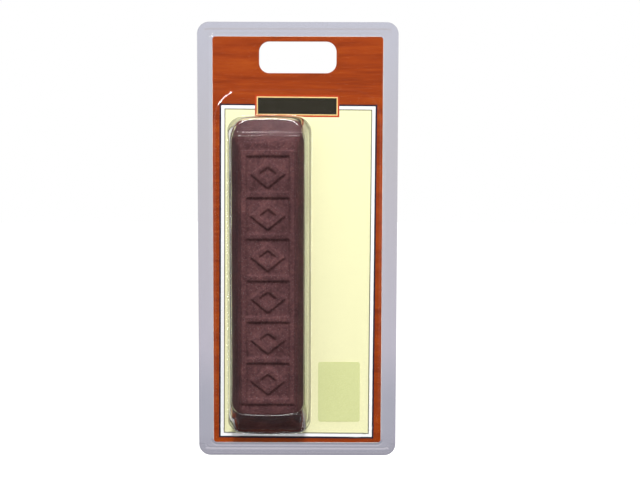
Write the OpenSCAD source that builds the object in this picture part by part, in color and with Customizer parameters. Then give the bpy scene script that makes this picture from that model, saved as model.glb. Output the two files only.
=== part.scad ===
// A bar of coloured wax filler sealed in a clear welded pack with a printed card.
// X runs to the right, Y to the back and Z up the pack.
// The origin is the centre of the hang hole, on the flat back of the pack.

/* [Pack] */
// Width of the welded pack
pack_w = 78; // [74:0.5:100]
// Height of the welded pack
pack_h = 170.5; // [166:0.5:200]
// Corner radius of the pack
pack_r = 4.6; // [1:0.1:7]
// Width of the hang hole
hole_w = 30; // [20:0.5:40]
// Height of the hang hole
hole_h = 12.2; // [8:0.1:13]
// Corner radius of the hang hole
hole_r = 4; // [1:0.1:5.5]
// Distance from the top edge of the pack to the centre of the hang hole
hole_drop = 13.6; // [13:0.1:18]

/* [Sheets] */
// Thickness of the flat back sheet
back_t = 0.35; // [0.2:0.05:0.8]
// Thickness of the formed front sheet
front_t = 0.45; // [0.3:0.05:0.8]
// Width of the pressed weld band round the edge
weld_w = 2.9; // [1.5:0.1:4.2]
// Depth to which the weld band is pressed
weld_press = 0.12; // [0.05:0.01:0.2]

/* [Card] */
// Thickness of the printed card
card_t = 0.5; // [0.3:0.05:1]
// Distance from the side of the pack to the card
card_side = 5.8; // [5.5:0.1:8]
// Distance from the top of the pack to the card
card_top = 5.5; // [5.3:0.1:6]
// Distance from the foot of the pack to the card
card_foot = 5.2; // [5.1:0.1:6]
// Corner radius of the card
card_r = 1.6; // [0.5:0.1:4]
// Gap all round the card inside its pocket
card_gap = 0.3; // [0.1:0.05:0.5]
// Gap between the face of the card and the front sheet
pocket_gap = 0.12; // [0.1:0.01:0.6]

/* [Raised panel] */
// How far the panel round the bubble stands out of the pocket
panel_rise = 0.45; // [0.3:0.05:1.2]
// Distance from the side of the pack to the raised panel
panel_side = 6.9; // [6.7:0.1:9]
// Distance from the top of the pack to the raised panel
panel_drop = 26.3; // [22:0.1:32]
// Distance from the foot of the pack to the raised panel
panel_foot = 7.6; // [6.4:0.1:7.8]
// Corner radius of the raised panel
panel_r = 11.3; // [4:0.1:14]

/* [Shade label] */
// Width of the label
label_w = 16.5; // [10:0.5:20]
// Height of the label
label_h = 24; // [12:0.5:60]
// Corner radius of the label
label_r = 1; // [0.3:0.1:4]
// Thickness of the label
label_t = 0.08; // [0.05:0.01:0.1]
// Distance from the side of the card to the label
label_side = 8.5; // [6:0.1:9]
// Distance from the foot of the card to the label
label_foot = 8.4; // [6:0.1:20]

/* [Wax stick] */
// Width of the stick across its back
stick_w = 29.6; // [20:0.1:31]
// Length of the stick along its back
stick_l = 124.3; // [110:0.1:124.6]
// Thickness of the stick without its relief
stick_t = 17; // [10:0.1:25]
// How far each long side leans in towards the face
stick_side_lean = 4; // [3:0.05:5]
// How far the head leans in towards the face
stick_head_lean = 7.9; // [4:0.1:9]
// How far the foot leans in towards the face
stick_foot_lean = 10.8; // [10.8:0.1:14]
// Corner radius of the stick, seen from the front
stick_r = 5.5; // [4:0.1:8]
// Radius of the edges round the face
stick_edge_r = 1.3; // [0.5:0.1:2]
// Radius of the rim round the back
stick_rim_r = 0.6; // [0.2:0.1:1]
// How far the ends bow outwards
stick_bow = 0.8; // [0.2:0.1:1.2]
// Distance from the middle of the pack to the middle of the stick
stick_shift = 11; // [9:0.1:12.4]
// Distance from the foot of the pack to the foot of the stick
stick_lift = 9.1; // [9:0.1:10]
// Gap between the back of the stick and the card
stick_back_gap = 0.2; // [0.1:0.05:0.5]

/* [Relief] */
// Height of the raised pattern on the face
relief_h = 0.9; // [0.3:0.1:1.5]
// Width of each raised rib
rib_w = 2.2; // [1:0.1:3]
// Number of framed fields along the face
fields = 6; // [3:1:7]
// Margin between the pattern and the long edges of the face
relief_side_margin = 1.7; // [1.4:0.1:3]
// Margin between the pattern and the ends of the face
relief_end_margin = 3.2; // [2.4:0.1:8]
// Gap between a lozenge and the frame of its field
lozenge_gap = 1.4; // [1:0.1:3]

/* [Bubble] */
// Room between the stick and each long wall
side_gap = 1.3; // [0.5:0.1:1.8]
// Room under the foot of the stick
foot_gap = 0.3; // [0.2:0.05:0.4]
// Room above the head of the stick when it is pushed up
head_gap = 0.2; // [0.2:0.05:2]
// Distance that the stick can slide up
stick_travel = 0.5; // [0.3:0.1:3]
// Room between the raised pattern and the front wall
face_gap = 0.35; // [0.2:0.05:2]
// Draft of each long wall over the full depth
side_draft = 2.8; // [1.5:0.1:3.4]
// Draft of the head wall over the full depth
head_draft = 2.6; // [1.5:0.1:4]
// Slope of the foot wall over the full depth
foot_draft = 11.8; // [5:0.1:11.8]
// Radius of the edge round the front wall
bubble_edge_r = 1; // [0.9:0.1:2]
// Plan radius of the head corners at the card
head_r = 5.2; // [4:0.1:7]
// Plan radius of the head corners at the front wall
head_front_r = 9; // [6:0.1:10]
// Plan radius of the foot corners at the card
foot_r = 5; // [4:0.1:7]
// Plan radius of the foot corners at the front wall
foot_front_r = 4; // [3:0.1:6]
// How far the ends bow outwards
bubble_bow = 1.1; // [0.2:0.1:2]
// Distance from the head of the bubble down to the front edge of its facet
facet_drop = 6.75; // [5:0.05:8]
// Height of the sloping facet
facet_run = 4.85; // [3:0.05:6]
// Depth of the sloping facet
facet_depth = 5.2; // [3:0.1:6]

/* [Hidden] */
$fn = 64;
// How far a cut runs past the piece that it cuts
overrun = 0.5;
// Steps round a plan corner, across an end and round an edge in the lofted forms
corner_steps = 8;
end_steps = 8;
edge_steps = 4;

// Heights of the pack's edges and of what follows them
pack_top = hole_drop;
pack_foot = pack_top - pack_h;
card_w = pack_w - 2 * card_side;
stick_foot = pack_foot + stick_lift;
stick_head = stick_foot + stick_l;

// Distances out of the back plane, towards the front
card_back = back_t;
card_face = card_back + card_t;
pocket_in = card_face + pocket_gap;
pocket_out = pocket_in + front_t;
panel_in = pocket_in + panel_rise;
panel_out = panel_in + front_t;
stick_back = card_face + stick_back_gap;
stick_face = stick_back + stick_t;
bubble_in = stick_face + relief_h + face_gap;
bubble_out = bubble_in + front_t;

// Bubble at the level of the stick's back
bubble_half = stick_w / 2 + side_gap + front_t;
bubble_foot = stick_foot - foot_gap - front_t;
bubble_head = stick_head + stick_travel + head_gap + front_t;
bubble_depth = bubble_out - stick_back;
facet_slant = sqrt(facet_run * facet_run + facet_depth * facet_depth);

// Quarter turn of points round a corner of a plan outline
function corner(x, z, r, start) =
    [for (i = [0:corner_steps]) let(a = start + 90 * i / corner_steps) [x + r * cos(a), z + r * sin(a)]];

// Closed plan outline with round corners, bowed out at the head and the foot
function outline(half, foot, head, r_foot, r_head, bow) =
    let(
        head_x = half - r_head,
        foot_x = half - r_foot,
        middle = (foot + head) / 2,
        square_points = concat(
            corner(head_x, head - r_head, r_head, 0),
            [for (i = [1:end_steps - 1]) [head_x * (1 - 2 * i / end_steps), head]],
            corner(-head_x, head - r_head, r_head, 90),
            corner(-foot_x, foot + r_foot, r_foot, 180),
            [for (i = [1:end_steps - 1]) [foot_x * (2 * i / end_steps - 1), foot]],
            corner(foot_x, foot + r_foot, r_foot, 270)
        )
    )
    [for (p = square_points) [p.x, p.y - sign(p.y - middle) * bow * pow(p.x / half, 2)]];

// Steps of a drafted wall: [share of the height, distance drawn in], from the rim to the rounded edge
function wall_steps(height, rim_r, edge_r) =
    concat(
        rim_r > 0
            ? [for (i = [0:edge_steps - 1]) let(a = 90 * i / edge_steps)
                [rim_r * (1 - cos(a)) / height, rim_r * (1 - sin(a))]]
            : [],
        [[rim_r / height, 0]],
        [for (i = [0:edge_steps]) let(a = 90 * i / edge_steps)
            [1 - edge_r * (1 - sin(a)) / height, edge_r * (1 - cos(a))]]
    );

// Solid between plan outlines stacked along the steps of a wall
module loft(rings) {
    n = len(rings[0]);
    last = len(rings) - 1;
    polyhedron(
        points = [for (ring = rings, p = ring) p],
        faces = concat(
            [[for (j = [0:n - 1]) j]],
            [for (i = [0:last - 1], j = [0:n - 1])
                [i * n + j, (i + 1) * n + j, (i + 1) * n + (j + 1) % n]],
            [for (i = [0:last - 1], j = [0:n - 1])
                [i * n + j, (i + 1) * n + (j + 1) % n, i * n + (j + 1) % n]],
            [[for (j = [n - 1:-1:0]) last * n + j]]
        ),
        convexity = 4
    );
}

// Slab of a flat outline, from one distance out of the back plane to another
module slab(from, to) {
    translate([0, -from, 0])
        rotate([90, 0, 0])
            linear_extrude(to - from)
                children();
}

// Rectangle with round corners between its left, right, foot and head
module round_rect(left, right, foot, head, r) {
    translate([left, foot + r])
        square([right - left, head - foot - 2 * r]);
    translate([left + r, foot])
        square([right - left - 2 * r, head - foot]);
    for (x = [left + r, right - r], z = [foot + r, head - r])
        translate([x, z])
            circle(r);
}

// Outline of the pack, drawn in by a margin
module pack_outline(margin = 0) {
    round_rect(
        -pack_w / 2 + margin, pack_w / 2 - margin, pack_foot + margin, pack_top - margin,
        max(pack_r - margin, card_gap)
    );
}

// Outline of the card, grown by a margin
module card_outline(margin = 0) {
    round_rect(
        -card_w / 2 - margin, card_w / 2 + margin,
        pack_foot + card_foot - margin, pack_top - card_top + margin, card_r + margin
    );
}

// Outline of the raised panel, drawn in by a margin
module panel_outline(margin = 0) {
    half = pack_w / 2 - panel_side - margin;
    round_rect(
        -half, half, pack_foot + panel_foot + margin, pack_top - panel_drop - margin, panel_r - margin
    );
}

module hang_hole() {
    round_rect(-hole_w / 2, hole_w / 2, -hole_h / 2, hole_h / 2, hole_r);
}

// Room beyond the sloping facet, which meets the front wall at the given height and distance
module beyond_facet(edge_z, edge_out) {
    reach = bubble_depth / facet_depth;
    translate([-bubble_half, 0, 0])
        rotate([90, 0, 90])
            linear_extrude(2 * bubble_half)
                polygon([
                    [-edge_out - overrun, edge_z - overrun * facet_run / facet_depth],
                    [-edge_out + facet_depth * reach, edge_z + facet_run * reach],
                    [-edge_out - overrun, edge_z + facet_run * reach]
                ]);
}

// Form of the bubble, drawn in by the thickness of a wall
module bubble_form(wall) {
    height = bubble_depth - wall;
    share = height / bubble_depth;
    facet_edge = bubble_head - facet_drop - wall * (facet_slant - facet_run) / facet_depth;
    translate([-stick_shift, 0, 0])
        difference() {
            loft([for (s = wall_steps(height, 0, bubble_edge_r - wall)) let(
                    u = s[0] * share,
                    inset = s[1] + wall,
                    ring = outline(
                        bubble_half - side_draft * u - inset,
                        bubble_foot + foot_draft * u + inset,
                        bubble_head - head_draft * u - inset,
                        foot_r + (foot_front_r - foot_r) * u - inset,
                        head_r + (head_front_r - head_r) * u - inset,
                        bubble_bow
                    )
                ) [for (p = ring) [p.x, -stick_back - height * s[0], p.y]]]);
            beyond_facet(facet_edge, bubble_out - wall);
        }
}

// Raised frame with a lozenge in each field, centred on the face of the stick
module relief(w, l) {
    pitch = (l - rib_w) / fields;
    field_w = w - 2 * rib_w;
    field_l = pitch - rib_w;
    lozenge_w = field_w / 2 - lozenge_gap;
    lozenge_l = field_l / 2 - lozenge_gap;
    rib_share_w = rib_w * sqrt(pow(lozenge_w, 2) + pow(lozenge_l, 2)) / lozenge_l;
    rib_share_l = rib_share_w * lozenge_l / lozenge_w;
    difference() {
        square([w, l], center = true);
        for (i = [0:fields - 1])
            translate([0, pitch * (i - (fields - 1) / 2)])
                difference() {
                    square([field_w, field_l], center = true);
                    difference() {
                        polygon([[lozenge_w, 0], [0, lozenge_l], [-lozenge_w, 0], [0, -lozenge_l]]);
                        polygon([
                            [lozenge_w - rib_share_w, 0], [0, lozenge_l - rib_share_l],
                            [rib_share_w - lozenge_w, 0], [0, rib_share_l - lozenge_l]
                        ]);
                    }
                }
    }
}

// Cast bar of wax with leaning sides and a raised pattern on its face
module wax_stick() {
    face_foot = stick_foot + stick_foot_lean + stick_edge_r;
    face_head = stick_head - stick_head_lean - stick_edge_r;
    face_w = stick_w - 2 * (stick_side_lean + stick_edge_r);
    color("#5d4042") {
        translate([-stick_shift, 0, 0]) {
            loft([for (s = wall_steps(stick_t, stick_rim_r, stick_edge_r)) let(
                    ring = outline(
                        stick_w / 2 - stick_side_lean * s[0] - s[1],
                        stick_foot + stick_foot_lean * s[0] + s[1],
                        stick_head - stick_head_lean * s[0] - s[1],
                        stick_r - s[1], stick_r - s[1], stick_bow
                    )
                ) [for (p = ring) [p.x, -stick_back - stick_t * s[0], p.y]]]);
            translate([0, 0, (face_foot + face_head) / 2])
                slab(stick_face - relief_h, stick_face + relief_h)
                    relief(
                        face_w + 2 * (stick_edge_r - relief_side_margin) + rib_w,
                        face_head - face_foot - 2 * relief_end_margin
                    );
        }
    }
}

// Formed clear sheet: weld band, card pocket, raised panel and bubble
module front_blister() {
    color("#c9d2dc", 0.35)
        difference() {
            union() {
                slab(card_back, card_back + front_t)
                    pack_outline();
                slab(card_back, pocket_out)
                    card_outline(card_gap + front_t);
                slab(card_back, panel_out)
                    panel_outline();
                bubble_form(0);
            }
            slab(card_back - overrun, pocket_in)
                card_outline(card_gap);
            slab(card_back - overrun, panel_in)
                panel_outline(front_t);
            bubble_form(front_t);
            slab(card_back + front_t - weld_press, card_back + front_t + overrun)
                difference() {
                    pack_outline(-overrun);
                    pack_outline(weld_w);
                }
            slab(0, bubble_out)
                hang_hole();
        }
}

// Printed card, trapped between the two sheets
module insert_card() {
    color("#a03f17")
        slab(card_back, card_face)
            difference() {
                card_outline();
                hang_hole();
            }
}

// Paper label on the face of the card
module shade_label() {
    right = card_w / 2 - label_side;
    foot = pack_foot + card_foot + label_foot;
    color("#e4e6aa")
        slab(card_face, card_face + label_t)
            round_rect(right - label_w, right, foot, foot + label_h, label_r);
}

// Flat clear sheet that closes the back
module back_sheet() {
    color("#c9d2dc", 0.35)
        slab(0, back_t)
            difference() {
                pack_outline();
                hang_hole();
            }
}

wax_stick();
front_blister();
insert_card();
shade_label();
back_sheet();
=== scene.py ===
import math

import bmesh
import bpy
import numpy as np
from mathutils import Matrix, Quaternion, Vector


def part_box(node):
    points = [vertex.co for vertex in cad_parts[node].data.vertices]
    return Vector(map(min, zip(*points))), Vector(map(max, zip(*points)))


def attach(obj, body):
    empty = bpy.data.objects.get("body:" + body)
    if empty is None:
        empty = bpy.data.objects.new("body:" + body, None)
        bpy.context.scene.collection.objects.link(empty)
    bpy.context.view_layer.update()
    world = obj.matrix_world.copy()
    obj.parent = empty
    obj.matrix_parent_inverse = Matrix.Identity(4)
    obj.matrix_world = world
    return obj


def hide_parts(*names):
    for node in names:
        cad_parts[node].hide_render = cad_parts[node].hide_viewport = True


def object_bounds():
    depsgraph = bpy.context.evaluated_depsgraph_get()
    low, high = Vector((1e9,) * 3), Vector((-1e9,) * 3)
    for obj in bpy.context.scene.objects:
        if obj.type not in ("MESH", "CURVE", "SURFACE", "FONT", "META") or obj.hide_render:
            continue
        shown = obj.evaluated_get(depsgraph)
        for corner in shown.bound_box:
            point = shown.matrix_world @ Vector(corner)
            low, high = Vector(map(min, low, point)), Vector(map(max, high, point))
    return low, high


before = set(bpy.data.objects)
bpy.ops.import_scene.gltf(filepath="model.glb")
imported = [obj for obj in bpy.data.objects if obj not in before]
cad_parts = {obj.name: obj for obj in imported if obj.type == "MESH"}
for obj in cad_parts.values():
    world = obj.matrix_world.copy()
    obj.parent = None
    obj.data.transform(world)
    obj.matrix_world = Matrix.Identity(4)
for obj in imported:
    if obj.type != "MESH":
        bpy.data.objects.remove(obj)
cad_low, cad_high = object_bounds()

# The studio. The pack hangs in front of a white sweep, over a white floor, with soft lamps round it.
# The clear sheets mirror the lamps, pale walls at eye level, a dim ceiling and the dark behind the camera.
# Only the camera sees the white itself. Seen through the clear sheets, it is painted shade: a grey that
# grows darker further down.
MM = 0.001
camera_place = Vector((8.8, -525.4, -25.8)) * MM
camera_dip = math.radians(4.925)
camera_roll = math.radians(0.163)
camera_data = bpy.data.cameras.new("camera")
camera_data.sensor_width = 36
camera_data.lens = 75.54
camera = bpy.data.objects.new("camera", camera_data)
camera.rotation_mode = "ZXY"
camera.rotation_euler = (math.pi / 2 - camera_dip, 0, camera_roll)
camera.location = camera_place
bpy.context.collection.objects.link(camera)
bpy.context.scene.camera = camera
bpy.context.scene.view_settings.view_transform = "Standard"


def colour(code):
    """An sRGB colour, written as six hex digits, as the linear values that shaders take."""
    parts = [int(code[i:i + 2], 16) / 255 for i in (0, 2, 4)]
    return [c / 12.92 if c <= 0.04045 else ((c + 0.055) / 1.055) ** 2.4 for c in parts] + [1]


def add_node(owner, kind, sockets=None, **settings):
    """Adds a node with its settings. sockets gives each input a value or the output that feeds it."""
    made = owner.node_tree.nodes.new(kind)
    for name, value in settings.items():
        setattr(made, name, value)
    for name, value in (sockets or {}).items():
        if isinstance(value, bpy.types.NodeSocket):
            owner.node_tree.links.new(value, made.inputs[name])
        else:
            made.inputs[name].default_value = value
    return made


def set_stops(ramp, stops):
    """Gives a Color Ramp its stops, each a place from 0 to 1 and a colour."""
    for place, shade in stops[1:-1]:
        ramp.color_ramp.elements.new(place)
    for element, (place, shade) in zip(ramp.color_ramp.elements, stops):
        element.position = place
        element.color = shade


pack_middle = (cad_low + cad_high) / 2


def add_softbox(name, place, width, height, glow, lights, turn=0):
    """Hangs a rectangular soft lamp at a place seen from the middle of the pack, and turns it to the pack.

    lights says what it does: fill (it lights matt surfaces only) or glint (it shows in reflections only).
    """
    data = bpy.data.lights.new(name, "AREA")
    data.shape = "RECTANGLE"
    data.size, data.size_y = width, height
    data.energy = glow * math.pi * width * height
    lamp = bpy.data.objects.new(name, data)
    lamp.location = pack_middle + Vector(place)
    lamp.rotation_mode = "QUATERNION"
    aim = (pack_middle - lamp.location).to_track_quat("-Z", "Y")
    lamp.rotation_quaternion = aim @ Quaternion((0, 0, 1), math.radians(turn))
    lamp.visible_glossy = lights != "fill"
    lamp.visible_transmission = False
    lamp.visible_diffuse = lights != "glint"
    bpy.context.collection.objects.link(lamp)


add_softbox("key lamp", (0.04, -0.62, 0.79), 0.22, 0.18, 121, "fill")
add_softbox("front fill", (0, -0.75, 0.2), 1.7, 0.35, 2.8, "fill")
add_softbox("rear fill", (-0.2, 0.8, 0.6), 0.9, 0.5, 4, "fill")
add_softbox("floor fill", (0, -0.5, -0.6), 0.5, 0.2, 5, "fill")
add_softbox("key glint", (-0.02, -0.26, 0.94), 0.3, 0.1, 28, "glint")
add_softbox("rear strip", (0, 0.16, 0.6), 0.3, 0.03, 45, "glint")
add_softbox("upper left glint", (-0.66, -0.57, 0.66), 0.6, 0.05, 60, "glint", 59)
add_softbox("upper right glint", (0.47, -0.55, 0.82), 0.06, 0.06, 30, "glint")
add_softbox("left strip", (-0.93, -0.1, -0.08), 0.04, 0.5, 10, "glint")
add_softbox("right strip", (0.93, -0.1, -0.08), 0.04, 0.5, 8, "glint")
add_softbox("table bounce", (0, -0.04, -0.62), 0.5, 0.08, 30, "glint")

room = bpy.data.worlds.new("studio room")
room.use_nodes = True
room.node_tree.nodes.clear()
gaze = add_node(room, "ShaderNodeTexCoord")
gaze_parts = add_node(room, "ShaderNodeSeparateXYZ", {"Vector": gaze.outputs["Generated"]})
height = add_node(room, "ShaderNodeMapRange", {"Value": gaze_parts.outputs["Z"],
                                               "From Min": -1, "From Max": 1})


def by_height(stops):
    """A colour that changes with the height of the gaze: 0 is straight down, 0.5 level and 1 is up."""
    ramp = add_node(room, "ShaderNodeValToRGB", {"Fac": height.outputs["Result"]})
    set_stops(ramp, [(place, [*shade, 1]) for place, shade in stops])
    return ramp.outputs["Color"]


soft_fill = by_height([(0, (0.12, 0.12, 0.12)), (0.5, (0.16, 0.16, 0.16)), (1, (0.2, 0.2, 0.2))])
mirrored_walls = by_height([(0, (0.03, 0.03, 0.03)), (0.33, (0.06, 0.06, 0.06)), (0.45, (0.3, 0.3, 0.31)),
                            (0.62, (0.3, 0.3, 0.31)), (0.75, (0.12, 0.12, 0.13)), (1, (0.1, 0.1, 0.11))])
# Painted shade: the grey, darker further down, that the clear sheets show straight through, where the sweep
# itself is white.
shade_through_sheets = by_height([(0, (0.42, 0.4, 0.43)), (0.375, (0.46, 0.44, 0.47)), (0.386, (0.58, 0.56, 0.6)),
                        (0.4, (0.59, 0.576, 0.616)), (0.417, (0.74, 0.69, 0.73)),
                        (0.49, (0.78, 0.74, 0.73)), (0.54, (0.82, 0.81, 0.85)), (1, (0.85, 0.85, 0.87))])
camera_side = [0.02, 0.02, 0.02, 1]
white = [1, 1, 1, 1]

# A Mix node lays the colour over on the colour under by a factor, and these number its colour sockets.
# A ray's flags and counts are whole numbers, so yes_above tells a yes from a no.
under, over, mixed = 6, 7, 2
yes_above = 0.5
seen = add_node(room, "ShaderNodeLightPath")
to_front = add_node(room, "ShaderNodeMapRange", {"Value": gaze_parts.outputs["Y"],
                                                 "From Min": -0.5, "From Max": -0.9})
mirrored_room = add_node(room, "ShaderNodeMix", {"Factor": to_front.outputs["Result"],
                                                 under: mirrored_walls, over: camera_side}, data_type="RGBA")
mirrored = add_node(room, "ShaderNodeMath", {0: seen.outputs["Glossy Depth"], 1: yes_above},
                    operation="GREATER_THAN")
unbent = add_node(room, "ShaderNodeMath", {0: seen.outputs["Is Transmission Ray"], 1: mirrored.outputs[0]},
                  operation="SUBTRACT")
through = add_node(room, "ShaderNodeMath", {0: unbent.outputs[0], 1: yes_above}, operation="GREATER_THAN")
lit = add_node(room, "ShaderNodeMix", {"Factor": mirrored.outputs[0], under: soft_fill,
                                       over: mirrored_room.outputs[mixed]}, data_type="RGBA")
lit_or_through = add_node(room, "ShaderNodeMix", {"Factor": through.outputs[0], under: lit.outputs[mixed],
                                                  over: shade_through_sheets}, data_type="RGBA")
room_colour = add_node(room, "ShaderNodeMix", {"Factor": seen.outputs["Is Camera Ray"],
                                               under: lit_or_through.outputs[mixed], over: white},
                       data_type="RGBA")
room_glow = add_node(room, "ShaderNodeBackground", {"Color": room_colour.outputs[mixed], "Strength": 1})
add_node(room, "ShaderNodeOutputWorld", {"Surface": room_glow.outputs[0]})
bpy.context.scene.world = room

bpy.ops.object.select_all(action="DESELECT")
bpy.ops.mesh.primitive_circle_add(vertices=96, radius=6, fill_type="NGON", location=(0, 0, -0.5))
floor = bpy.context.object
floor.name = "floor"
floor.visible_diffuse = floor.visible_glossy = floor.visible_transmission = False
floor_sheet = bpy.data.materials.new("lit white acrylic")
floor_sheet.use_nodes = True
floor_shader = floor_sheet.node_tree.nodes["Principled BSDF"]
floor_shader.inputs["Base Color"].default_value = colour("f4f4f4")
floor_shader.inputs["Roughness"].default_value = 0.8
floor_shader.inputs["Emission Color"].default_value = colour("ffffff")
floor_shader.inputs["Emission Strength"].default_value = 1
floor.data.materials.append(floor_sheet)

# Wax stick. A bar of hard wax filler, coloured through, cast in an open mould that leaves every edge soft.
# Its sides lean in to leave the mould, and the mould's floor gives it a raised frame with lozenges.
# It lies loose in the bubble of the front sheet, with its flat back to the card.
stick_low, stick_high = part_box("wax_stick")
relief_height = 0.9 * MM
stick_size = stick_high - stick_low - Vector((0, relief_height, 0))
stick_back = stick_high.y
stick_face = stick_back - stick_size.y
stick_middle = (stick_low.x + stick_high.x) / 2
side_lean, head_lean, foot_lean = 3.9 * MM, 7.6 * MM, 10.4 * MM
plan_corner, face_edge, back_rim = 3.4 * MM, 1.3 * MM, 0.4 * MM
square_on = 0.9
hair = 0.01 * MM


def pick(piece, kind, test):
    """In edit mode, selects only the faces, edges or verts of a piece that pass a test."""
    bpy.ops.mesh.select_mode(type={"faces": "FACE", "edges": "EDGE", "verts": "VERT"}[kind])
    bpy.ops.mesh.select_all(action="DESELECT")
    shape = bmesh.from_edit_mesh(piece.data)
    for part in getattr(shape, kind):
        if test(part):
            part.select_set(True)
    bmesh.update_edit_mesh(piece.data)


def add_block(name, centre, size):
    """Adds a block at its size and place, with its place in its mesh."""
    bpy.ops.object.select_all(action="DESELECT")
    bpy.ops.mesh.primitive_cube_add(size=1, location=centre, scale=size)
    block = bpy.context.object
    block.name = block.data.name = name
    bpy.ops.object.transform_apply()
    return block


def apply_modifier(piece, kind, **settings):
    """Adds a modifier with its settings and applies it."""
    bpy.context.view_layer.objects.active = piece
    modifier = piece.modifiers.new(kind.title(), kind)
    for name, value in settings.items():
        setattr(modifier, name, value)
    bpy.ops.object.modifier_apply(modifier=modifier.name)


def join_into(piece, others):
    """Joins other objects into a piece."""
    bpy.ops.object.select_all(action="DESELECT")
    for other in [piece, *others]:
        other.select_set(True)
    bpy.context.view_layer.objects.active = piece
    bpy.ops.object.join()


def read_points(piece):
    """The places of a piece's vertices, one row for each."""
    places = np.empty(len(piece.data.vertices) * 3)
    piece.data.vertices.foreach_get("co", places)
    return places.reshape(-1, 3)


def move_points(piece, places):
    """Moves a piece's vertices to new places."""
    piece.data.vertices.foreach_set("co", places.ravel())
    piece.data.update()


def share_between(value, start, end):
    """How far a value has come from a start to an end: 0 at or before the start, 1 at or past the end."""
    return np.clip((value - start) / (end - start), 0, 1)


def level(edge, y):
    """True if an edge lies in the plane at that y."""
    return all(abs(v.co.y - y) < hair for v in edge.verts)


stick_centre = Vector((stick_middle, (stick_back + stick_face) / 2, (stick_low.z + stick_high.z) / 2))
stick = add_block("cast_wax_stick", stick_centre, stick_size)
bpy.ops.object.mode_set(mode="EDIT")
pick(stick, "faces", lambda f: f.normal.y < -square_on)
bpy.ops.transform.resize(value=(1 - 2 * side_lean / stick_size.x, 1, 1), center_override=stick_centre)
pick(stick, "edges", lambda e: level(e, stick_face) and all(v.co.z > stick_centre.z for v in e.verts))
bpy.ops.transform.translate(value=(0, 0, -head_lean))
pick(stick, "edges", lambda e: level(e, stick_face) and all(v.co.z < stick_centre.z for v in e.verts))
bpy.ops.transform.translate(value=(0, 0, foot_lean))
pick(stick, "edges", lambda e: abs(e.verts[0].co.y - e.verts[1].co.y) > stick_size.y / 2)
bpy.ops.mesh.bevel(offset=plan_corner, segments=12, affect="EDGES")
pick(stick, "edges", lambda e: level(e, stick_face))
bpy.ops.mesh.bevel(offset=face_edge, segments=5, affect="EDGES")
pick(stick, "edges", lambda e: level(e, stick_back))
bpy.ops.mesh.bevel(offset=back_rim, segments=3, affect="EDGES")
bpy.ops.object.mode_set(mode="OBJECT")

rib_w, rib_edge = 2.2 * MM, 0.3 * MM
field_count = 6
relief_w, relief_l, relief_middle_z = 20.4 * MM, 96.6 * MM, -84.2 * MM
relief_middle = Vector((stick_middle, stick_face, relief_middle_z))
field_pitch = (relief_l - rib_w) / field_count
rib_depth = 2 * relief_height
cross_rib = (relief_w, rib_depth, rib_w)
long_rib = (rib_w, rib_depth, relief_l)
ribs = [add_block("rib", relief_middle + Vector((0, 0, field_pitch * (i - field_count / 2))), cross_rib)
        for i in range(field_count + 1)]
ribs += [add_block("rib", relief_middle + Vector((side * (relief_w - rib_w) / 2, 0, 0)), long_rib)
         for side in (-1, 1)]
lozenge_half_w, lozenge_half_l = 6.6 * MM, 5.4 * MM
for i in range(field_count):
    bpy.ops.object.select_all(action="DESELECT")
    middle = relief_middle + Vector((0, -relief_height, field_pitch * (i - (field_count - 1) / 2)))
    bpy.ops.mesh.primitive_circle_add(vertices=4, radius=lozenge_half_w, fill_type="NGON", location=middle,
                                      rotation=(math.pi / 2, 0, 0))
    lozenge = bpy.context.object
    bpy.ops.object.transform_apply()
    bpy.ops.object.mode_set(mode="EDIT")
    bpy.ops.mesh.select_mode(type="FACE")
    bpy.ops.mesh.select_all(action="SELECT")
    bpy.ops.transform.resize(value=(1, 1, lozenge_half_l / lozenge_half_w), center_override=middle)
    bpy.ops.mesh.inset(thickness=rib_w, use_even_offset=True)
    bpy.ops.mesh.delete(type="FACE")
    bpy.ops.mesh.select_all(action="SELECT")
    bpy.ops.mesh.extrude_region_move(TRANSFORM_OT_translate={"value": (0, rib_depth, 0)})
    bpy.ops.mesh.select_all(action="SELECT")
    bpy.ops.mesh.normals_make_consistent(inside=False)
    bpy.ops.object.mode_set(mode="OBJECT")
    ribs.append(lozenge)
for rib in ribs:
    apply_modifier(rib, "BEVEL", width=rib_edge, segments=2, limit_method="ANGLE",
                   angle_limit=math.radians(40))
join_into(stick, ribs)
apply_modifier(stick, "REMESH", mode="VOXEL", voxel_size=0.4 * MM, use_smooth_shade=True)
apply_modifier(stick, "SMOOTH", factor=0.5, iterations=2)

# The cast form isn't quite straight: its ends bow, its head tips down to one side, and its walls swell
# between back and face. along and across run from -1 to 1 over the bar, and forward from back to face.
end_bow, bowed_from = 0.8 * MM, 3 / 4
end_swell_from, foot_swell = 2 / 3, 0.4
head_tilt, tilt_reach = 2.2 * MM, 5 * MM
points = read_points(stick)
across = (points[:, 0] - stick_middle) / (stick_size.x / 2)
along = (points[:, 2] - stick_centre.z) / (stick_size.z / 2)
points[:, 2] -= np.sign(along) * share_between(np.abs(along), bowed_from, 1) * end_bow * across ** 2
forward = share_between(points[:, 1], stick_back, stick_face)
swell = forward - forward ** 2
end_lean = np.where(along > 0, head_lean, -foot_swell * foot_lean)
points[:, 0] += across * side_lean * swell
points[:, 2] += share_between(np.abs(along), end_swell_from, 1) * end_lean * swell
head_line = stick_high.z - head_lean
near_head = share_between(points[:, 2], head_line - tilt_reach, head_line)
points[:, 2] -= near_head * forward ** 2 * head_tilt * (1 - across) / 2
move_points(stick, points)

for name, grain, depth in (("cooling sinks", 14, 0.35), ("cast skin", 2.2, 0.12), ("fine skin", 0.9, 0.05)):
    clouds = bpy.data.textures.new(name, "CLOUDS")
    clouds.noise_scale = grain * MM
    apply_modifier(stick, "DISPLACE", texture=clouds, strength=depth * MM, mid_level=0.65,
                   texture_coords="LOCAL")

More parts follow.
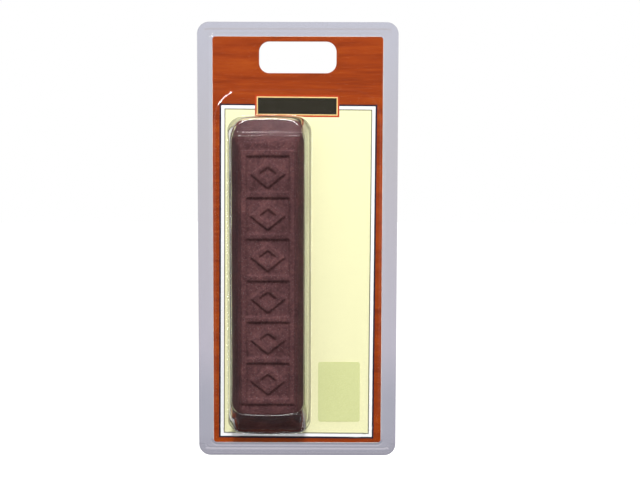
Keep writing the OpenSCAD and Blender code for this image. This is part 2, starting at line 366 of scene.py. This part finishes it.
# The real bar fills its bubble, so the finished one is stretched a little fuller than its solid.
fuller_x, fuller_z = 0.25 * MM, 0.3 * MM
points = read_points(stick)
cast_low, cast_high = points.min(axis=0), points.max(axis=0)
full_low = np.array(stick_low) - (fuller_x, 0, 0)
full_high = np.array(stick_high) + (fuller_x, 0, fuller_z)
move_points(stick, full_low + (points - cast_low) / (cast_high - cast_low) * (full_high - full_low))

# Hard wax with brown and red pigment: a dull satin skin, lighter where it is rubbed or has bloomed.
wax = bpy.data.materials.new("pigmented hard wax")
wax.use_nodes = True
wax_shader = wax.node_tree.nodes["Principled BSDF"]
wax_place = add_node(wax, "ShaderNodeTexCoord")
wax_cloud = add_node(wax, "ShaderNodeTexNoise", {"Vector": wax_place.outputs["Object"],
                                                 "Scale": 1 / (9 * MM), "Detail": 4, "Roughness": 0.6})
wax_grain = add_node(wax, "ShaderNodeTexNoise", {"Vector": wax_place.outputs["Object"],
                                                 "Scale": 1 / (0.8 * MM), "Detail": 2})
wax_sum = add_node(wax, "ShaderNodeMath", {0: wax_cloud.outputs["Fac"], 1: wax_grain.outputs["Fac"]},
                   operation="ADD")
wax_mean = add_node(wax, "ShaderNodeMath", {0: wax_sum.outputs[0], 1: 2}, operation="DIVIDE")
wax_colour = add_node(wax, "ShaderNodeValToRGB", {"Fac": wax_mean.outputs[0]})
set_stops(wax_colour, [(0.36, colour("442b2b")), (0.5, colour("553838")), (0.66, colour("6a4644"))])
wax_sheen = add_node(wax, "ShaderNodeMapRange", {"Value": wax_cloud.outputs["Fac"], "From Min": 0.3,
                                                 "From Max": 0.7, "To Min": 0.42, "To Max": 0.56})
wax_bump = add_node(wax, "ShaderNodeBump", {"Height": wax_grain.outputs["Fac"], "Distance": 0.05 * MM,
                                            "Strength": 0.6})
wax.node_tree.links.new(wax_colour.outputs["Color"], wax_shader.inputs["Base Color"])
wax.node_tree.links.new(wax_sheen.outputs["Result"], wax_shader.inputs["Roughness"])
wax.node_tree.links.new(wax_bump.outputs["Normal"], wax_shader.inputs["Normal"])
wax_shader.inputs["IOR"].default_value = 1.44
wax_shader.inputs["Specular IOR Level"].default_value = 0.06
wax_shader.inputs["Subsurface Weight"].default_value = 0.06
wax_shader.inputs["Subsurface Scale"].default_value = 1.5 * MM
wax_shader.inputs["Subsurface Radius"].default_value = (1, 0.35, 0.25)
stick.data.materials.clear()
stick.data.materials.append(wax)
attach(stick, "stick")
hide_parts("wax_stick")

# Printed card. Coated board, 0.5 mm thick, printed on both sides and die-cut with the hang hole.
# A wood-grain print runs round a cream panel with a dark line, a white band and a thin olive line.
# The card lies in a shallow pocket of the front sheet, and the weld holds it all round.
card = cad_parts["insert_card"]
card_low, card_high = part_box("insert_card")
panel_middle_x, panel_half_w = -0.08, 30.65
panel_foot, panel_head = -149.9, -18.0
plaque_middle_x, plaque_half_w = -0.55, 16.4
plaque_foot, plaque_head = -23.0, -14.5
print_slant, print_centre_z = 0.0052, -84
card_middle_y = -0.6
bare_rim, face_on = 0.12, 0.5

# Offset print on coated board: a smooth satin face with faint flecks in the ink, and bare pulp at each cut.
# A small dark plaque with a gold and red rim sits on the head of the panel, on the front only. All the
# print lies a hair askew on the board, and its patterns are worked out in millimetres.
board = bpy.data.materials.new("printed coated board")
board.use_nodes = True
board_shader = board.node_tree.nodes["Principled BSDF"]
board_place = add_node(board, "ShaderNodeTexCoord")
board_mm = add_node(board, "ShaderNodeVectorMath", {0: board_place.outputs["Object"], "Scale": 1 / MM},
                    operation="SCALE")
board_xyz = add_node(board, "ShaderNodeSeparateXYZ", {"Vector": board_mm.outputs[0]})
print_turn = add_node(board, "ShaderNodeMapping", {"Vector": board_mm.outputs[0],
                                                   "Location": (print_centre_z * print_slant, 0, 0),
                                                   "Rotation": (0, -print_slant, 0)})
print_xyz = add_node(board, "ShaderNodeSeparateXYZ", {"Vector": print_turn.outputs[0]})


def outside_box(xyz, middle_x, half_w, foot, head):
    """How far a point lies outside a rectangle, in millimetres. Inside it's negative."""
    sides = []
    for axis, middle, half in (("X", middle_x, half_w), ("Z", (foot + head) / 2, (head - foot) / 2)):
        offset = add_node(board, "ShaderNodeMath", {0: xyz.outputs[axis], 1: middle}, operation="SUBTRACT")
        size = add_node(board, "ShaderNodeMath", {0: offset.outputs[0]}, operation="ABSOLUTE")
        sides.append(add_node(board, "ShaderNodeMath", {0: size.outputs[0], 1: half}, operation="SUBTRACT"))
    return add_node(board, "ShaderNodeMath", {0: sides[0].outputs[0], 1: sides[1].outputs[0]},
                    operation="MAXIMUM").outputs[0]


def printed_lines(distance, bands):
    """Colours by how deep a point lies in a rectangle: bands gives where each starts, the deepest first."""
    deepest = bands[0][0]
    share = add_node(board, "ShaderNodeMapRange", {"Value": distance, "From Min": -deepest, "From Max": 0})
    ramp = add_node(board, "ShaderNodeValToRGB", {"Fac": share.outputs["Result"]})
    ramp.color_ramp.interpolation = "CONSTANT"
    set_stops(ramp, [(1 - inset / deepest, colour(code)) for inset, code in bands])
    return ramp.outputs["Color"]


# Wood grain: lines about 0.6 mm apart, in bands of about 3 mm, drawn out sideways to 20 times their width.
grain_stretch = add_node(board, "ShaderNodeMapping", {"Vector": board_mm.outputs[0],
                                                      "Scale": (0.05, 0.05, 1.0)})
grain_fine = add_node(board, "ShaderNodeTexNoise", {"Vector": grain_stretch.outputs[0], "Scale": 1.6,
                                                    "Detail": 3, "Roughness": 0.7})
grain_broad = add_node(board, "ShaderNodeTexNoise", {"Vector": grain_stretch.outputs[0], "Scale": 0.3,
                                                     "Detail": 2})
grain_sum = add_node(board, "ShaderNodeMath", {0: grain_fine.outputs["Fac"], 1: grain_broad.outputs["Fac"]},
                     operation="ADD")
grain_mean = add_node(board, "ShaderNodeMath", {0: grain_sum.outputs[0], 1: 2}, operation="DIVIDE")
wood_print = add_node(board, "ShaderNodeValToRGB", {"Fac": grain_mean.outputs[0]})
set_stops(wood_print, [(0.36, colour("802e09")), (0.5, colour("963a0b")), (0.64, colour("a5470f"))])

panel_distance = outside_box(print_xyz, panel_middle_x, panel_half_w, panel_foot, panel_head)
panel_print = printed_lines(panel_distance, [(6, "f2efba"), (2.3, "6a6a4e"), (1.9, "fffdf8"),
                                             (0.7, "2b2430")])
off_panel = add_node(board, "ShaderNodeMath", {0: panel_distance, 1: 0}, operation="GREATER_THAN")
ground = add_node(board, "ShaderNodeMix", {"Factor": off_panel.outputs[0], under: panel_print,
                                           over: wood_print.outputs["Color"]}, data_type="RGBA")
plaque_distance = outside_box(print_xyz, plaque_middle_x, plaque_half_w, plaque_foot, plaque_head)
plaque_print = printed_lines(plaque_distance, [(6, "2f2c22"), (1.1, "f3d48a"), (0.7, "b8401c")])
on_front = add_node(board, "ShaderNodeMath", {0: print_xyz.outputs["Y"], 1: card_middle_y},
                    operation="LESS_THAN")
in_plaque = add_node(board, "ShaderNodeMath", {0: plaque_distance, 1: 0}, operation="LESS_THAN")
plaque_share = add_node(board, "ShaderNodeMath", {0: on_front.outputs[0], 1: in_plaque.outputs[0]},
                        operation="MULTIPLY")
face_print = add_node(board, "ShaderNodeMix", {"Factor": plaque_share.outputs[0],
                                               under: ground.outputs[mixed], over: plaque_print},
                      data_type="RGBA")

board_fleck = add_node(board, "ShaderNodeTexNoise", {"Vector": board_mm.outputs[0], "Scale": 1.1,
                                                     "Detail": 3})
fleck_tone = add_node(board, "ShaderNodeMapRange", {"Value": board_fleck.outputs["Fac"], "To Min": 0.93,
                                                    "To Max": 1.05})
toned = add_node(board, "ShaderNodeMix", {"Factor": 1, under: face_print.outputs[mixed],
                                          over: fleck_tone.outputs["Result"]},
                 data_type="RGBA", blend_type="MULTIPLY")
board_normal = add_node(board, "ShaderNodeNewGeometry")
normal_parts = add_node(board, "ShaderNodeSeparateXYZ", {"Vector": board_normal.outputs["Normal"]})
facing = add_node(board, "ShaderNodeMath", {0: normal_parts.outputs["Y"]}, operation="ABSOLUTE")
cut_edge = add_node(board, "ShaderNodeMath", {0: facing.outputs[0], 1: face_on}, operation="LESS_THAN")
card_distance = outside_box(board_xyz, 0, card_high.x / MM, card_low.z / MM, card_high.z / MM)
at_rim = add_node(board, "ShaderNodeMath", {0: card_distance, 1: -bare_rim}, operation="GREATER_THAN")
bare = add_node(board, "ShaderNodeMath", {0: cut_edge.outputs[0], 1: at_rim.outputs[0]}, operation="MAXIMUM")
board_colour = add_node(board, "ShaderNodeMix", {"Factor": bare.outputs[0], under: toned.outputs[mixed],
                                                 over: colour("e6dccb")}, data_type="RGBA")
board_bump = add_node(board, "ShaderNodeBump", {"Height": board_fleck.outputs["Fac"], "Distance": 0.01 * MM,
                                                "Strength": 0.3})
board.node_tree.links.new(board_colour.outputs[mixed], board_shader.inputs["Base Color"])
board.node_tree.links.new(board_bump.outputs["Normal"], board_shader.inputs["Normal"])
board_shader.inputs["Roughness"].default_value = 0.5
board_shader.inputs["Specular IOR Level"].default_value = 0.12
card.material_slots[0].material = board

# Shade label. A small piece of thin self-adhesive paper, in a slightly greener cream than the panel.
# It is stuck to the card at the lower right, under the front sheet.
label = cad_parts["shade_label"]

# Uncoated paper: quite matt, with a faint mottle where the fibres take the tint unevenly.
paper = bpy.data.materials.new("uncoated label paper")
paper.use_nodes = True
paper_shader = paper.node_tree.nodes["Principled BSDF"]
paper_place = add_node(paper, "ShaderNodeTexCoord")
paper_fibre = add_node(paper, "ShaderNodeTexNoise", {"Vector": paper_place.outputs["Object"],
                                                     "Scale": 1 / (0.5 * MM), "Detail": 4})
paper_colour = add_node(paper, "ShaderNodeValToRGB", {"Fac": paper_fibre.outputs["Fac"]})
set_stops(paper_colour, [(0.3, colour("d0d48f")), (0.5, colour("d7db98")), (0.7, colour("dfe2a1"))])
paper_bump = add_node(paper, "ShaderNodeBump", {"Height": paper_fibre.outputs["Fac"], "Distance": 0.02 * MM,
                                                "Strength": 0.4})
paper.node_tree.links.new(paper_colour.outputs["Color"], paper_shader.inputs["Base Color"])
paper.node_tree.links.new(paper_bump.outputs["Normal"], paper_shader.inputs["Normal"])
paper_shader.inputs["Roughness"].default_value = 0.65
label.material_slots[0].material = paper

# Front sheet. Clear rigid PVC, 0.45 mm, vacuum-formed over a mould in one piece, so that no edge of it is
# sharp: the weld band with its knurl, the flange, the pocket for the card, the raised panel and the bubble.
# Each level of the mould is a closed ring, because such a skin needs even walls for its reflections.
sheet_low, sheet_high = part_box("front_blister")
pack_half = sheet_high.x / MM
pack_foot, pack_head = sheet_low.z / MM, sheet_high.z / MM
pack_corner = 4.6
corner_steps, side_steps, end_steps = 16, 40, 17
knurl_per_step, knurl_per_corner_step = 16, 2


def quarter(x, z, r, start, steps):
    """Points of a quarter turn round a corner."""
    turns = [math.radians(start + 90 * i / steps) for i in range(steps + 1)]
    return [(x + r * math.cos(a), z + r * math.sin(a)) for a in turns]


def straight(start, end, steps):
    """Points between two ends of a straight stretch, without the ends."""
    return [(start[0] + (end[0] - start[0]) * i / steps, start[1] + (end[1] - start[1]) * i / steps)
            for i in range(1, steps)]


def plan_ring(half, foot, head, foot_r, head_r, bow=0, middle=0, per_step=1, per_corner_step=1):
    """A rectangle with round corners and bowed ends as a closed row of points, seen from the front."""
    turns = corner_steps * per_corner_step
    corners = [
        quarter(half - head_r, head - head_r, head_r, 0, turns),
        quarter(head_r - half, head - head_r, head_r, 90, turns),
        quarter(foot_r - half, foot + foot_r, foot_r, 180, turns),
        quarter(half - foot_r, foot + foot_r, foot_r, 270, turns),
    ]
    ring = []
    for i, corner in enumerate(corners):
        steps = (end_steps if i % 2 == 0 else side_steps) * per_step
        ring += corner + straight(corner[-1], corners[(i + 1) % 4][0], steps)
    centre_z = (foot + head) / 2
    return [(middle + x, z - math.copysign(bow * (x / half) ** 2, z - centre_z)) for x, z in ring]


def lay_ring(skin, ring, depth):
    """Adds a ring's points to a skin, at a depth out of the back plane or at one depth for each point."""
    depths = depth if isinstance(depth, list) else [depth] * len(ring)
    return [skin.verts.new((x * MM, -d * MM, z * MM)) for (x, z), d in zip(ring, depths)]


def join_rings(skin, outer, inner):
    """Closes the strip between two rings with the same number of points."""
    for i in range(len(outer)):
        j = (i + 1) % len(outer)
        skin.faces.new((outer[i], outer[j], inner[j], inner[i]))


def knurled_band(skin, land, pit, width, rows):
    """The weld band: rows of small pits, pressed by the welding tool, round the edge of the pack."""
    straight_runs = []
    for steps in (end_steps, side_steps) * 2:
        turns = corner_steps * knurl_per_corner_step
        straight_runs += [False] * (turns + 1) + [True] * (steps * knurl_per_step - 1)
    last = None
    for row in range(rows + 1):
        inset = width * row / rows
        corner = pack_corner - inset
        ring = plan_ring(pack_half - inset, pack_foot + inset, pack_head - inset, corner, corner,
                         per_step=knurl_per_step, per_corner_step=knurl_per_corner_step)
        depths = [pit if row % 2 == 0 and 0 < row and i % 2 and straight_run else land
                  for i, straight_run in enumerate(straight_runs)]
        new = lay_ring(skin, ring, depths)
        if last:
            join_rings(skin, last, new)
        last = new
    return last


def thin_out(skin, fine, coarse):
    """Closes the flat strip between the fine last ring of a knurled band and a coarse ring."""
    counts = []
    for steps in (end_steps, side_steps) * 2:
        counts += [knurl_per_corner_step] * corner_steps + [knurl_per_step] * steps
    at = 0
    for i, count in enumerate(counts):
        between = [fine[(at + k) % len(fine)] for k in range(count + 1)]
        skin.faces.new(between + [coarse[(i + 1) % len(coarse)], coarse[i]])
        at += count


# The levels of the mould, in millimetres. A guard is a ring laid close beside a bend, to keep the flat flat.
weld_width, weld_rows = 2.9, 7
weld_land, weld_pit = 0.7, 0.54
weld_step = 0.15
flange_out, pocket_out, panel_out = 0.8, 1.42, 1.87
card_half = card_high.x / MM
card_foot, card_head = card_low.z / MM, card_high.z / MM
card_corner = 1.6
pocket_wall_from, pocket_wall_to = 1.6, 0.1
pocket_outer_guard, pocket_inner_guard = 1.7, 0.02
panel_side, panel_below, panel_above, panel_corner = 6.9, 7.6, 26.3, 11.3
panel_half = pack_half - panel_side
panel_low, panel_high = pack_foot + panel_below, pack_head - panel_above
panel_wall_from, panel_wall_to = 0.9, -0.45
panel_outer_guard, panel_inner_guard = 1.08, -0.5
bubble_middle, bubble_half = -11, 16.55
bubble_foot, bubble_head = -148.55, -22.35
bubble_start, bubble_out = 1.05, 19.75
side_draft, head_draft, foot_draft = 2.5, 0.8, 11.8
foot_corner, foot_corner_gain = 5, -1
head_corner, head_corner_gain = 5.2, 3.2
end_bulge = 1.1
flare_r, front_edge_r = 0.6, 0.35
bubble_guard, front_guard = 0.06, 0.25
turn_steps, wall_steps = 8, 14


def flange_ring(inset):
    """The outline of the pack, drawn in by an inset."""
    corner = pack_corner - inset
    return plan_ring(pack_half - inset, pack_foot + inset, pack_head - inset, corner, corner)


def pocket_ring(margin):
    """The outline of the card, let out by a margin."""
    corner = card_corner + margin
    return plan_ring(card_half + margin, card_foot - margin, card_head + margin, corner, corner)


def panel_ring(margin):
    """The outline of the raised panel, let out by a margin."""
    corner = panel_corner + margin
    return plan_ring(panel_half + margin, panel_low - margin, panel_high + margin, corner, corner)


def bubble_ring(margin, depth):
    """A level of the bubble: its walls lean in and its head corners open up towards the front."""
    share = (depth - bubble_start) / (bubble_out - bubble_start)
    return plan_ring(bubble_half - side_draft * share + margin, bubble_foot + foot_draft * share - margin,
                     bubble_head - head_draft * share + margin,
                     foot_corner + foot_corner_gain * share + margin,
                     head_corner + head_corner_gain * share + margin, bow=end_bulge, middle=bubble_middle)


def step_wall(ring, outer, inner, low, high):
    """Rings of a low step that rises in a soft S from one level to the next."""
    rings = []
    for i in range(turn_steps + 1):
        share = i / turn_steps
        rise = (1 - math.cos(math.pi * share)) / 2
        rings.append((ring(outer + (inner - outer) * share), low + (high - low) * rise))
    return rings


levels = [(flange_ring(weld_width + weld_step), weld_land)]
levels += [(flange_ring(weld_width + weld_step * i), flange_out) for i in (2, 3)]
levels.append((pocket_ring(pocket_outer_guard), flange_out))
levels += step_wall(pocket_ring, pocket_wall_from, pocket_wall_to, flange_out, pocket_out)
levels += [(pocket_ring(pocket_inner_guard), pocket_out), (panel_ring(panel_outer_guard), pocket_out)]
levels += step_wall(panel_ring, panel_wall_from, panel_wall_to, pocket_out, panel_out)
levels.append((panel_ring(panel_inner_guard), panel_out))
levels.append((bubble_ring(flare_r + bubble_guard, panel_out), panel_out))
for i in range(turn_steps + 1):
    turn = math.radians(90 * i / turn_steps)
    flare = bubble_ring(flare_r * (1 - math.sin(turn)), panel_out)
    levels.append((flare, panel_out + flare_r * (1 - math.cos(turn))))
wall_from, wall_to = panel_out + flare_r, bubble_out - front_edge_r
for i in range(1, wall_steps):
    depth = wall_from + (wall_to - wall_from) * i / wall_steps
    levels.append((bubble_ring(0, depth), depth))
for i in range(turn_steps + 1):
    turn = math.radians(90 * i / turn_steps)
    depth = wall_to + front_edge_r * math.sin(turn)
    levels.append((bubble_ring(front_edge_r * (math.cos(turn) - 1), depth), depth))
levels.append((bubble_ring(-front_edge_r - front_guard, bubble_out), bubble_out))

skin = bmesh.new()
band = knurled_band(skin, weld_land, weld_pit, weld_width, weld_rows)
ring = lay_ring(skin, *levels[0])
thin_out(skin, band, ring)
for points_of_level, depth in levels[1:]:
    new = lay_ring(skin, points_of_level, depth)
    join_rings(skin, ring, new)
    ring = new
skin.faces.new(ring)

# The sloping facet at the head of the bubble, and a low brow just below it, where the front steps in: cuts
# give each bend its own edges, and all that stands out past the facet is then pressed back onto it. The
# facet's bend is tight at the front of the bubble, and opens out over bend_reach towards the card.
facet_length, facet_up, facet_back = 7.1, 4.85, 5.2
facet_edge = Vector((0, -bubble_out, bubble_head - facet_length)) * MM
facet_normal = Vector((0, -facet_up, facet_back)).normalized()
facet_bend, rim_bend, bend_reach = 0.6 * MM, 1.7 * MM, 4 * MM
bend_cuts, bend_steps = 14, 13
brow_z, brow_width, brow_drop = -30.05 * MM, 0.5 * MM, 0.32 * MM
brow_full, brow_none = 0.5 * MM, 1.5 * MM
brow_cuts, brow_steps = 5, 8
clear_of_flare = 0.1
wall_start = (panel_out + flare_r + clear_of_flare) * MM
bubble_front = bubble_out * MM
cut_closeness, weld_closeness = 1e-6, 2e-6


def beyond_facet(point):
    """How far a point stands out past the plane of the facet."""
    return (point - facet_edge).dot(facet_normal)


def in_bubble(point):
    """True if a point lies on the walls or the front of the bubble."""
    return -point.y > wall_start


def cut_bubble(place, normal):
    """Cuts the bubble along a plane, so that it can bend there."""
    upper = [f for f in skin.faces if all(in_bubble(v.co) for v in f.verts)]
    around = {v for f in upper for v in f.verts} | {e for f in upper for e in f.edges}
    bmesh.ops.bisect_plane(skin, geom=[*upper, *around], dist=cut_closeness, plane_no=normal, plane_co=place)


for i in range(-brow_cuts, brow_cuts + 1):
    cut_bubble(Vector((0, 0, brow_z + brow_width * i / brow_steps)), Vector((0, 0, 1)))
for i in range(-bend_cuts, bend_cuts + 1):
    cut_bubble(facet_edge + facet_normal * rim_bend * i / bend_steps, facet_normal)
bmesh.ops.dissolve_degenerate(skin, dist=weld_closeness, edges=skin.edges)
for vert in skin.verts:
    if in_bubble(vert.co):
        share = share_between(vert.co.z, brow_z - brow_width / 2, brow_z + brow_width / 2)
        near_front = share_between(-vert.co.y, bubble_front - brow_none, bubble_front - brow_full)
        vert.co.y += near_front * brow_drop * (1 - math.cos(math.pi * share)) / 2
        depth_in = share_between(vert.co.y, -bubble_front, bend_reach - bubble_front)
        bend = facet_bend + (rim_bend - facet_bend) * depth_in
        past = beyond_facet(vert.co)
        if past > bend:
            vert.co -= facet_normal * past
        elif past > -bend:
            vert.co -= facet_normal * (past + bend) ** 2 / (4 * bend)

# The welding tool presses the sheet thinner in its band, down to weld_plane. Forming thins it too, as it
# is drawn out into the bubble, until thinning_depth past the panel.
front_thickness, front_thinning, thinning_depth = 0.45, 0.45, 6
weld_plane = 0.37
hole_w, hole_h, hole_corner = 30 * MM, 12.2 * MM, 4 * MM
punch_depth = 6 * MM


def in_weld_band(point):
    """True where a point lies in the knurled band round the edge of the pack."""
    edge = weld_width * MM - hair
    return (abs(point.x) > pack_half * MM - edge or point.z > pack_head * MM - edge
            or point.z < pack_foot * MM + edge)


def front_share(point):
    """The share of the front sheet's thickness that it keeps at a point."""
    if in_weld_band(point):
        return (-point.y / MM - weld_plane) / front_thickness
    return 1 - front_thinning * share_between(-point.y / MM, panel_out, panel_out + thinning_depth)


def add_sheet(name, skin, thickness, share):
    """Makes a sheet of a skin: gives each point its share of the thickness, and cuts the hang hole."""
    mesh = bpy.data.meshes.new(name)
    skin.to_mesh(mesh)
    skin.free()
    sheet = bpy.data.objects.new(name, mesh)
    bpy.context.collection.objects.link(sheet)
    thick = sheet.vertex_groups.new(name="share of the thickness")
    for vertex in mesh.vertices:
        thick.add([vertex.index], share(vertex.co), "REPLACE")
    apply_modifier(sheet, "SOLIDIFY", thickness=thickness * MM, offset=-1, use_even_offset=True,
                   use_rim=True, vertex_group=thick.name, thickness_vertex_group=0)
    sheet.vertex_groups.clear()
    punch = add_block("hole punch", (0, 0, 0), (hole_w, punch_depth, hole_h))
    bpy.ops.object.mode_set(mode="EDIT")
    pick(punch, "edges", lambda e: abs(e.verts[0].co.y - e.verts[1].co.y) > punch_depth / 2)
    bpy.ops.mesh.bevel(offset=hole_corner, segments=12, affect="EDGES")
    bpy.ops.object.mode_set(mode="OBJECT")
    apply_modifier(sheet, "BOOLEAN", object=punch, operation="DIFFERENCE", solver="EXACT")
    bpy.data.objects.remove(punch)
    bpy.ops.object.select_all(action="DESELECT")
    sheet.select_set(True)
    bpy.context.view_layer.objects.active = sheet
    bpy.ops.object.shade_smooth_by_angle(angle=math.radians(40))
    return sheet


front_sheet = add_sheet("formed_front_sheet", skin, front_thickness, front_share)

# Rigid PVC: clear and glossy, with a faint blue-grey cast and the slight waves that forming leaves.
# Light from the lamps goes straight through it, as it does through such a thin sheet.
pvc = bpy.data.materials.new("clear rigid PVC")
pvc.use_nodes = True
pvc.node_tree.nodes.clear()
pvc_place = add_node(pvc, "ShaderNodeTexCoord")
pvc_wave = add_node(pvc, "ShaderNodeTexNoise", {"Vector": pvc_place.outputs["Object"],
                                                "Scale": 1 / (24 * MM), "Detail": 1})
pvc_bump = add_node(pvc, "ShaderNodeBump", {"Height": pvc_wave.outputs["Fac"], "Distance": 0.25 * MM,
                                            "Strength": 0.5})
pvc_shader = add_node(pvc, "ShaderNodeBsdfPrincipled", {
    "Base Color": colour("f4f5fa"), "Roughness": 0.03, "IOR": 1.53, "Transmission Weight": 1,
    "Normal": pvc_bump.outputs["Normal"]})
pvc_window = add_node(pvc, "ShaderNodeBsdfTransparent", {"Color": [0.95, 0.95, 0.955, 1]})
pvc_path = add_node(pvc, "ShaderNodeLightPath")
pvc_lamp = add_node(pvc, "ShaderNodeMath", {0: pvc_path.outputs["Is Shadow Ray"],
                                            1: pvc_path.outputs["Is Diffuse Ray"]}, operation="MAXIMUM")
pvc_mix = add_node(pvc, "ShaderNodeMixShader", {"Fac": pvc_lamp.outputs[0], 1: pvc_shader.outputs[0],
                                                2: pvc_window.outputs[0]})
add_node(pvc, "ShaderNodeOutputMaterial", {"Surface": pvc_mix.outputs[0]})
front_sheet.data.materials.append(pvc)
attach(front_sheet, "pack")
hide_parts("front_blister")

# Back sheet. Flat clear PVC, 0.33 mm, cut to the outline of the pack and punched with the same hang hole.
# It is welded to the front sheet along the knurled band, where the welding tool presses it thinner and
# leaves shallow pits in its back.
back_thickness, back_pressed = 0.33, 0.9
back_pit, back_step = 0.08, 0.2


def back_share(point):
    """The share of the back sheet's thickness that it keeps at a point."""
    return back_pressed if in_weld_band(point) else 1


back_skin = bmesh.new()
back_band = knurled_band(back_skin, 0, back_pit, weld_width, weld_rows)
back_ring = lay_ring(back_skin, flange_ring(weld_width + back_step), 0)
thin_out(back_skin, back_band, back_ring)
back_skin.faces.new(back_ring)
bmesh.ops.reverse_faces(back_skin, faces=back_skin.faces)
back_sheet = add_sheet("flat_back_sheet", back_skin, back_thickness, back_share)
back_sheet.data.materials.append(pvc)
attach(back_sheet, "pack")
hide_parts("back_sheet")
